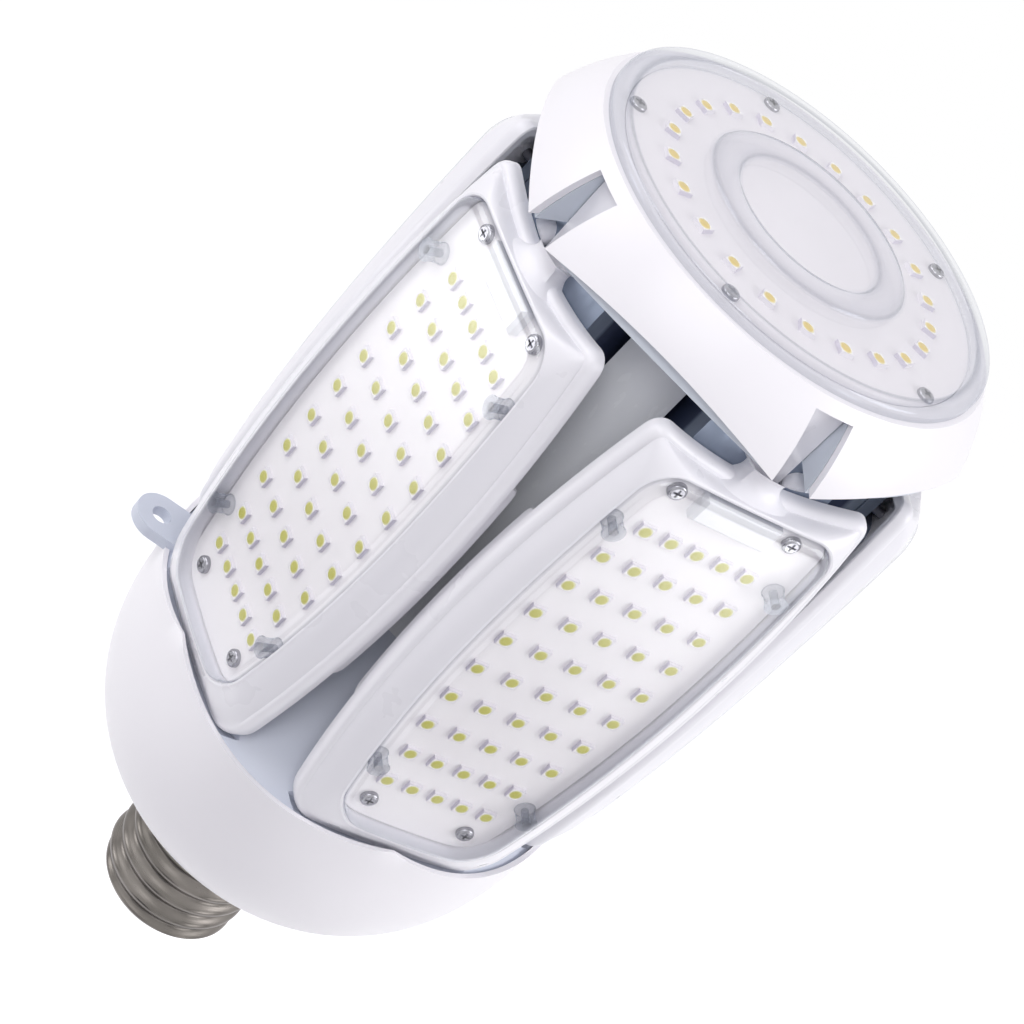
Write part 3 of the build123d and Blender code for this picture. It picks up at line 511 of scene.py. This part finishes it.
def pod_neck(az):
    """Saddle above the pod. Along its height s, from -1 to 1, the outward face dips by a parabola and the
    sides waist along half circles, with a flare at the foot. Across its width u the face is crowned by a
    power of |u|, and its edges round off into sides that go down to the heat sink's pad."""
    rows = 24
    s = np.linspace(-1, 1, rows)[:, None]
    z = (NECK_LOW + NECK_HIGH) / 2 + (NECK_HIGH - NECK_LOW) / 2 * s
    half = NECK_HALF - NECK_WAIST * np.sqrt(np.clip(1 - s * s, 0, 1)) + NECK_FLARE * (0.5 - 0.5 * s) ** 4
    rho = NECK_FACE + NECK_DIP * s * s - NECK_LEAN * s
    across = np.linspace(-1, 1, 15)[1:-1]
    u = np.concatenate([np.full(4, -1.0), across, np.full(4, 1.0)])[None, :]
    edge_drop, edge_pull = np.array([rho.max(), 4.4, 3.0, 2.2]), np.array([0, 0, 0.25, 0.7])
    drop = np.concatenate([edge_drop, NECK_CROWN * np.abs(across) ** 2.4, edge_drop[::-1]])[None, :]
    pull = np.concatenate([edge_pull, 0 * across, edge_pull[::-1]])[None, :]
    rho = np.maximum(rho - drop, PAD_FACE)
    return place((half - pull) * u, rho, z + 0 * u, az), grid(rows, u.shape[1])


def pod_skirt(az, side):
    """Deep wall behind a long side of the pod: a bar that follows the outline, with rounded back edges.
    Its back rises along a quarter circle at each end. side is 1 or -1."""
    z = np.linspace(SKIRT_LOW, SKIRT_HIGH, 60)
    end = np.minimum(np.minimum(z - SKIRT_LOW, SKIRT_HIGH - z), SKIRT_END)
    back = SKIRT_BACK + SKIRT_END - np.sqrt(SKIRT_END ** 2 - (SKIRT_END - end) ** 2)
    out, top = half_at(POD_SHAPE, z), SKIRT_TOP + 0 * z
    loop_t = [out - d for d in (1.0, 1.0, 1.4, SKIRT_WALL - 0.4, SKIRT_WALL, SKIRT_WALL)]
    loop_r = [top, back + 0.5, back, back, back + 0.5, top]
    points = np.stack([place(side * t, r, z, az) for t, r in zip(loop_t, loop_r)], 1)
    return (points if side > 0 else points[:, ::-1]).reshape(-1, 3), grid(len(z), 6)


def pod_lens(az):
    """Clear tray: straight side, rounded shoulder and a face that closes to its middle line. Its mark of
    painted grey shade is high where the side turns into the shoulder, falls over the shoulder and is 0 on the
    face."""
    side_top = LENS_EDGE - 0.4
    outlines, rhos, shade_paints = [barrel(**LENS_SHAPE)] * 2, [LENS_SEAT, side_top], [0.4, 1.3]
    for a in np.radians(np.linspace(0, 90, 9)):
        outlines.append(barrel(**LENS_SHAPE, inset=LENS_ROUND * (1 - np.cos(a))))
        rhos.append(side_top + (LENS_FACE - side_top) * np.sin(a))
        shade_paints.append(0.12 + 1.6 * max(0.0, 1 - a / 0.35) + 0.3 * np.cos(a))
    last = outlines[-1]
    middle = np.stack([0 * last[:, 0], np.clip(last[:, 1], *LENS_MIDDLE)], -1)
    for s in (0.06, 0.15, 0.4, 0.7, 1.0):
        outlines.append(last + s * (middle - last))
        rhos.append(LENS_FACE)
        shade_paints.append(0.0)
    return *rings(outlines, rhos, az), np.repeat(shade_paints, len(last))


def pod_pegs(az):
    """Four posts from the board up to the lens face: round columns with a slight foot and a wider top, and a
    bore down their middle. They carry painted grey shade, darkest in the bore."""
    around = 20
    a = np.linspace(0, 2 * np.pi, around, endpoint=False)
    radii = np.array([PEG_R + 0.3, PEG_R, PEG_R, PEG_R + 0.35, PEG_BORE, PEG_BORE - 0.1])
    rhos = np.array([BOARD_FACE, BOARD_FACE + 0.5, PEG_NECK, PEG_TOP, PEG_TOP, BOARD_FACE + 0.3])
    shade_paints = np.repeat([2.2, 1.2, 0.9, 1.2, 3.0, 2.6], around)
    parts = []
    for z, t in PEGS:
        for side in (1, -1):
            r = radii[:, None]
            points = place(side * t + r * np.cos(a), rhos[:, None], z + r * np.sin(a), az)
            parts.append((points.reshape(-1, 3), grid(len(radii), around, wrap=True)))
    points, faces = joined(parts)
    return points, faces, np.tile(shade_paints, len(parts))


def box_faces(x0, x1, y0, y1, z0, z1, az):
    """Box from tangential, outward and axial limits, as points and quads facing outward."""
    t, r, z = np.array([(x, y, z) for y in (y0, y1) for z in (z0, z1) for x in (x0, x1)]).T
    faces = [(4, 5, 7, 6), (0, 4, 6, 2), (1, 3, 7, 5), (2, 6, 7, 3), (0, 1, 5, 4), (0, 2, 3, 1)]
    return place(t, r, z, az), faces


# light packages: worked out lying flat as (across, up, height) and carried to each spot

AROUND = 16


def loop(radius, height, square=False):
    """One ring of points, round or following a square of the same half width."""
    a = np.radians(360.0 / AROUND * np.arange(AROUND))
    r = radius / np.maximum(abs(np.cos(a)), abs(np.sin(a))) if square else radius + 0 * a
    return np.stack([r * np.cos(a), r * np.sin(a), height + 0 * a], -1)


def package_shape():
    """White body: square walls, a thin bevel and a flat top with a round well, each ring apart from the next.
    The wall mark is painted shade: 1 on two opposite walls, less on the others and on the bevel, and 0 on the
    top."""
    h = LED_A / 2
    rows = [loop(h, 0.0, True), loop(h - 0.04, LED_H - 0.04, True), loop(h - 0.04, LED_H - 0.04, True),
            loop(h - 0.18, LED_H, True), loop(h - 0.18, LED_H, True), loop(PHOSPHOR_R + 0.08, LED_H),
            loop(PHOSPHOR_R, LED_H - 0.12)]
    faces = grid(7, AROUND, wrap=True)
    side = abs(np.cos(np.radians(360.0 / AROUND * (np.arange(AROUND) + 0.5)))) > 0.7
    walls = np.concatenate([np.where(side, 1.0, 0.35), np.repeat([0.0, 0.7, 0.0, 0.0, 0.0], AROUND)])
    keep = np.repeat([True, False, True, False, True, True], AROUND)
    return np.concatenate(rows), faces[keep], walls[keep]


def phosphor_shape():
    """Filled well: a shallow dome whose rim mark is 1 at its edge and 0 in its middle."""
    rows = [loop(PHOSPHOR_R + 0.02, LED_H - 0.08), loop(PHOSPHOR_R * 0.72, LED_H + 0.03),
            loop(PHOSPHOR_R * 0.35, LED_H + 0.06)]
    points = np.concatenate(rows + [[(0.0, 0.0, LED_H + 0.07)]])
    fan = [(2 * AROUND + k, 2 * AROUND + (k + 1) % AROUND, 3 * AROUND) for k in range(AROUND)]
    return points, list(grid(3, AROUND, wrap=True)) + fan, np.append(np.repeat([1.0, 0.45, 0.0], AROUND), 0.0)


def on_pod(points, spots, az):
    """A flat shape carried to each (t, z) spot on a pod's board."""
    t = np.array([s[0] for s in spots])[:, None] + points[:, 0]
    z = np.array([s[1] for s in spots])[:, None] + points[:, 1]
    return place(t, BOARD_FACE + points[:, 2] + 0 * t, z, az)


def on_head(points, azimuths, rho):
    """A flat shape carried to each azimuth on the head's board, its up toward the axis."""
    az = np.array(azimuths)[:, None]
    return place(points[:, 0], rho - points[:, 1], HEAD_BOARD_Z + points[:, 2], az)


def repeated(points, faces):
    """Points of many equal shapes, as (shape, point, xyz), with the faces of each."""
    count = points.shape[1]
    every = [[int(i) + count * k for i in face] for k in range(len(points)) for face in faces]
    return points.reshape(-1, 3), every


def led_places():
    """Rows down the pod, each of packages at the row's own pitch, centred."""
    middle = (LED_COLUMNS - 1) // 2
    return [(pitch * (c - middle), z) for pitch, z in zip(LED_PITCH, LED_ROWS) for c in range(LED_COLUMNS)]


def light_packages(name, carried, count, phosphor, node):
    """The bodies and the phosphors of count packages, whose shapes carried puts in their places."""
    piece(name + "_packages", repeated(carried(CASE[0]), CASE[1]), "package", [node],
          marks={"wall": np.tile(CASE[2], count)})
    piece(name + "_phosphor", repeated(carried(DOT[0]), DOT[1]), phosphor,
          sharp=80, marks={"rim": np.tile(DOT[2], count)})


CASE, DOT = package_shape(), phosphor_shape()
SPOTS = led_places()
for k, az in enumerate(POD_AZ, 1):
    name = "pod%d" % k
    tab = box_faces(-TAB_HALF, TAB_HALF, PAD_FACE, TAB_FACE, NECK_LOW, TAB_TOP, az)
    body = joined([pod_frame(az), pod_neck(az), tab, pod_skirt(az, 1), pod_skirt(az, -1)])
    piece(name + "_shell", body, "pod", [name + "_frame"])
    *tray, shade_paints = pod_lens(az)
    piece(name + "_clear", tray, "lens", [name + "_lens"], marks={"shade_paint": shade_paints})
    *posts, shade_paints = pod_pegs(az)
    piece(name + "_pegs", posts, "lens", marks={"shade_paint": shade_paints})
    light_packages(name, lambda shape: on_pod(shape, SPOTS, az), len(SPOTS), "phosphor", name + "_leds")


# head

def head_lens():
    """Disc of one thickness with a low ring of two rounded steps and a rounded rim bead, turned as one closed
    skin. Its mark of painted grey shade is 0 on the disc, higher on the steps and highest on the bead."""
    low, top = HEAD_Z - DISC_UNDER, HEAD_Z + DISC_OVER
    line = [(0.0, low, 0.0), (CAP_BORE - 0.3, low, 0.0), (CAP_BORE - 0.15, CAP_TOP + 0.45, 1.0),
            (CAP_BORE + 1.5, CAP_TOP + 0.05, 0.7), (BEAD_R - 0.2, CAP_TOP + 0.05, 0.9),
            (BEAD_R, CAP_TOP + 0.45, 1.6), (BEAD_R, CAP_TOP + 1.6, 1.2)]
    line += [(r, z, 0.7) for r, z in arc(BEAD_R - BEAD_ARC, CAP_TOP + 1.75, BEAD_ARC, 0, 90, 6)]
    line += [(47.4, CAP_TOP + 2.95, 0.5), (46.7, CAP_TOP + 2.95, 0.9)]
    line += [(46.2, top + 0.12, 2.2), (45.7, top, 3.6), (45.1, top, 0.3), (43.0, top, 0.0)]
    steps = ((26.4, 0, 0.0), (25.5, 0.0, 0.8), (25.2, 0.4, 3.4), (24.6, 0.9, 1.6), (23.3, 1.15, 0.9),
             (21.6, 1.2, 0.7), (19.9, 1.1, 0.8), (19.0, 0.85, 1.4), (18.5, 0.4, 3.2), (18.1, 0.0, 1.0),
             (17.2, 0.0, 0.1), (16.5, 0.0, 0.0), (0.0, 0.0, 0.0))
    line += [(r, top + dz, shade_paint) for r, dz, shade_paint in steps]
    points, faces = turned([(r, z) for r, z, _ in line])
    return points, faces, np.repeat([shade_paint for _, _, shade_paint in line], len(points) // len(line))


def screw_shell():
    """Rolled shell: the radius swings by half the thread depth with a cosine of (height / pitch - turn),
    fading in and out at the ends, over a rounded lower end; the inner wall runs back down to close it."""
    count = 144
    az = np.linspace(0, 360.0, count, endpoint=False)[None, :]
    z = np.linspace(SHELL_LOW + 2.0, SHELL_TOP, 150)[:, None]
    turn = (z - THREAD_LOW) / THREAD_PITCH - (az - 90.0) / 360.0
    fade = np.clip((z - (SHELL_LOW + 1.6)) / 1.8, 0, 1) * np.clip((THREAD_HIGH + 2.5 - z) / 2.5, 0, 1)
    root = THREAD_R - THREAD_DEPTH
    r = root + THREAD_DEPTH * fade * (0.5 + 0.5 * np.cos(2 * np.pi * turn)) ** 0.85
    end = np.array([(SHELL_MOUTH, SHELL_LOW + 1.0), (SHELL_MOUTH, SHELL_LOW + 0.15),
                    (SHELL_MOUTH + 0.2, SHELL_LOW), (SHELL_MOUTH + 1.25, SHELL_LOW),
                    (root - 1.8, SHELL_LOW + 0.25), (root - 0.6, SHELL_LOW + 0.9)])
    back = np.array([(SHELL_INSIDE, SHELL_TOP), (SHELL_INSIDE, SHELL_LOW + 2.4),
                     (SHELL_MOUTH + 1.0, SHELL_LOW + 1.0), (SHELL_MOUTH, SHELL_LOW + 1.0)])
    radius = np.concatenate([end[:, :1] + 0 * az, r, back[:, :1] + 0 * az])
    height = np.concatenate([end[:, 1:] + 0 * az, z + 0 * az, back[:, 1:] + 0 * az])
    return place(0.0, radius, height, az).reshape(-1, 3), grid(len(radius), count, wrap=True)


led_az = [HEAD_LED_AZ + 360.0 / HEAD_LEDS * k for k in range(HEAD_LEDS)]
light_packages("head", lambda shape: on_head(shape, led_az, HEAD_LED_RHO), HEAD_LEDS, "head_phosphor",
               "head_leds")
*disc, shade_paints = head_lens()
piece("head_clear", disc, "head_lens", ["head_lens"], merge=0.0005, marks={"shade_paint": shade_paints})
piece("rolled_shell", screw_shell(), "nickel", ["screw_shell"], sharp=60, merge=0.0005)

smoothed("lower_housing", "housing")
smoothed("head_cap", "housing")
smoothed("pod_collar", "collar")
smoothed("head_chassis", "inner")
smoothed("heat_sink", "sink")
for k in range(1, PODS + 1):
    smoothed("column_%d" % k, "column")

NODE_LOOKS = {"base_insulator": "insulator", "centre_contact": "brass", "shell_sleeve": "inner",
              "driver_deck": "inner", "driver_board": "circuit", "driver_transformer": "winding",
              "driver_capacitors": "can", "driver_choke": "ferrite", "base_leads": "wire",
              "head_lead": "wire", "head_board": "head_board", "head_screws": "steel"}
for k in range(1, PODS + 1):
    for end, look in (("plate", "sink"), ("board", "board"), ("screws", "steel"), ("cover", "cover")):
        NODE_LOOKS["pod%d_%s" % (k, end)] = look
for node, look in NODE_LOOKS.items():
    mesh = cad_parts[node].data
    mesh.materials.clear()
    mesh.materials.append(MATERIALS[look])


# studio

def make_camera():
    """Camera at the photograph's viewing angle, rolled so that the lamp lies diagonally. Its place is
    counted from the middle of the lens rim in rim radii, and it and its axes are then turned about the
    lamp's axis, so that the front gap lies at azimuth 0."""
    lens_mm, sensor_mm, turn = 86.73, 36.0, 22.14
    right = Vector((0.80293, 0.12241, 0.58337))
    down = Vector((0.52525, -0.60801, -0.59535))
    ahead = Vector((0.28181, 0.78444, -0.55248))
    spot = Vector((-3.2242, -8.8373, 4.2067)) * BEAD_R * MM
    spin = Matrix.Rotation(math.radians(turn), 3, "Z")
    m = Matrix([spin @ v for v in (right, -down, -ahead)]).transposed().to_4x4()
    m.translation = spin @ spot + Vector((0, 0, HEAD_Z * MM))
    data = bpy.data.cameras.new("camera")
    data.lens, data.sensor_width = lens_mm, sensor_mm
    data.clip_start, data.clip_end = 0.01, 30.0
    camera = bpy.data.objects.new("camera", data)
    camera.matrix_world = m
    bpy.context.scene.collection.objects.link(camera)
    bpy.context.scene.camera = camera


def direction(az, elevation):
    """Unit vector from the lamp's axis to an azimuth and an elevation in degrees."""
    a, e = math.radians(az), math.radians(elevation)
    return Vector((math.sin(a) * math.cos(e), -math.cos(a) * math.cos(e), math.sin(e)))


def stand_at(o, az, elevation, distance):
    """Puts a lamp or card round the middle of the pods, turned to face it."""
    away = direction(az, elevation)
    o.location = Vector((0, 0, AIM_Z)) + away * distance
    o.rotation_euler = away.to_track_quat("Z", "Y").to_euler()
    bpy.context.scene.collection.objects.link(o)


def soft_light(name, az, elevation, distance, size, power):
    """Round lamp that faces the pods; distance and size in m, power in W."""
    data = bpy.data.lights.new(name, "AREA")
    data.shape, data.size, data.energy = "DISK", size, power
    lamp = bpy.data.objects.new(name, data)
    lamp.visible_camera = False
    stand_at(lamp, az, elevation, distance)


def sheet(name, material, half_x, half_y, z=0.0):
    """Flat rectangle for the studio, not part of the lamp."""
    mesh = bpy.data.meshes.new(name)
    mesh.from_pydata([(-half_x, -half_y, z), (half_x, -half_y, z), (half_x, half_y, z), (-half_x, half_y, z)],
                     [], [(0, 1, 2, 3)])
    mesh.materials.append(material)
    made = bpy.data.objects.new(name, mesh)
    return made


def glow_card(name, az, elevation, distance, radius, strength):
    """Card that glows in its middle and fades to nothing at its rim, facing the lamp. The camera doesn't
    see it; it is there for its light and for what mirrors it."""
    s = Shader(name)
    x, y, z = s.split(s.place())
    fall = s.ramp((x * x + y * y) ** 0.5, 0.0, radius, 1.0, 0.0)
    s.show(s.glow(strength * fall * fall))
    made = sheet(name, s.material, radius, radius)
    made.visible_camera = made.visible_shadow = False
    stand_at(made, az, elevation, distance)


def make_world():
    """White behind the lamp for the camera and for what the lamp mirrors, and an even, dimmer studio that
    lights it."""
    world = bpy.data.worlds.new("studio")
    world.use_nodes = True
    bpy.context.scene.world = world
    tree = world.node_tree
    back = tree.nodes["Background"]
    seen = tree.nodes.new("ShaderNodeBackground")
    seen.inputs["Color"].default_value = (1, 1, 1, 1)
    mixer = tree.nodes.new("ShaderNodeMixShader")
    rays = tree.nodes.new("ShaderNodeLightPath")
    back.inputs["Color"].default_value = (*srgb(238, 236, 242), 1)
    back.inputs["Strength"].default_value = 0.58
    share = rays.outputs["Is Camera Ray"]
    for kind in ("Is Transmission Ray", "Is Glossy Ray"):
        either = tree.nodes.new("ShaderNodeMath")
        either.operation = "MAXIMUM"
        tree.links.new(share, either.inputs[0])
        tree.links.new(rays.outputs[kind], either.inputs[1])
        share = either.outputs[0]
    tree.links.new(share, mixer.inputs[0])
    tree.links.new(back.outputs[0], mixer.inputs[1])
    tree.links.new(seen.outputs[0], mixer.inputs[2])
    tree.links.new(mixer.outputs[0], tree.nodes["World Output"].inputs[0])


def make_floor():
    """Wide pale floor below the lamp. For the camera and for mirrors it is lifted near the lamp, so that
    the shadow stays, and turns to plain white further out, so that its edge doesn't show."""
    s = Shader("floor", Roughness=0.9)
    s.put(Base_Color=s.mix(s.noise(3), (0.80, 0.80, 0.81), (0.82, 0.82, 0.83)))
    rays = s.tree.nodes.new("ShaderNodeLightPath")
    seen = (Value(s, rays.outputs["Is Camera Ray"]) + Value(s, rays.outputs["Is Transmission Ray"])
            + Value(s, rays.outputs["Is Glossy Ray"]))
    near = s.node("ShaderNodeAddShader", None, {0: s.body(), 1: s.glow(0.45)})
    x, y, z = s.split(s.place())
    far = s.ramp((x * x + y * y) ** 0.5, 0.35, 1.3)
    s.show(s.either(seen, s.body(), s.either(far, near, s.glow(1.0))))
    half = 3.0
    bpy.context.scene.collection.objects.link(sheet("floor", s.material, half, half, FLOOR_Z))


def make_mat():
    """Dark mat just over the floor in front, so that the metal between the pods mirrors something dark.
    The camera doesn't see it."""
    s = Shader("mat", Roughness=0.9)
    s.put(Base_Color=s.mix(s.noise(8), srgb(40, 44, 62), srgb(50, 54, 72)))
    made = sheet("mat", s.material, 0.14, 0.45)
    made.visible_camera = False
    made.location = (0.0, -0.75, FLOOR_Z + 0.005)
    bpy.context.scene.collection.objects.link(made)


make_camera()
make_world()
make_floor()
make_mat()
soft_light("key", -75, 36, 1.1, 0.8, 4.1)
soft_light("front", -8, 46, 1.2, 0.7, 4.0)
soft_light("fill", 93, 26, 1.2, 0.8, 6.9)
glow_card("left_glow", -72, -20, 0.55, 0.20, 7.5)
glow_card("right_glow", 72, -20, 0.55, 0.20, 6.5)
bpy.context.scene.view_settings.view_transform = "Standard"
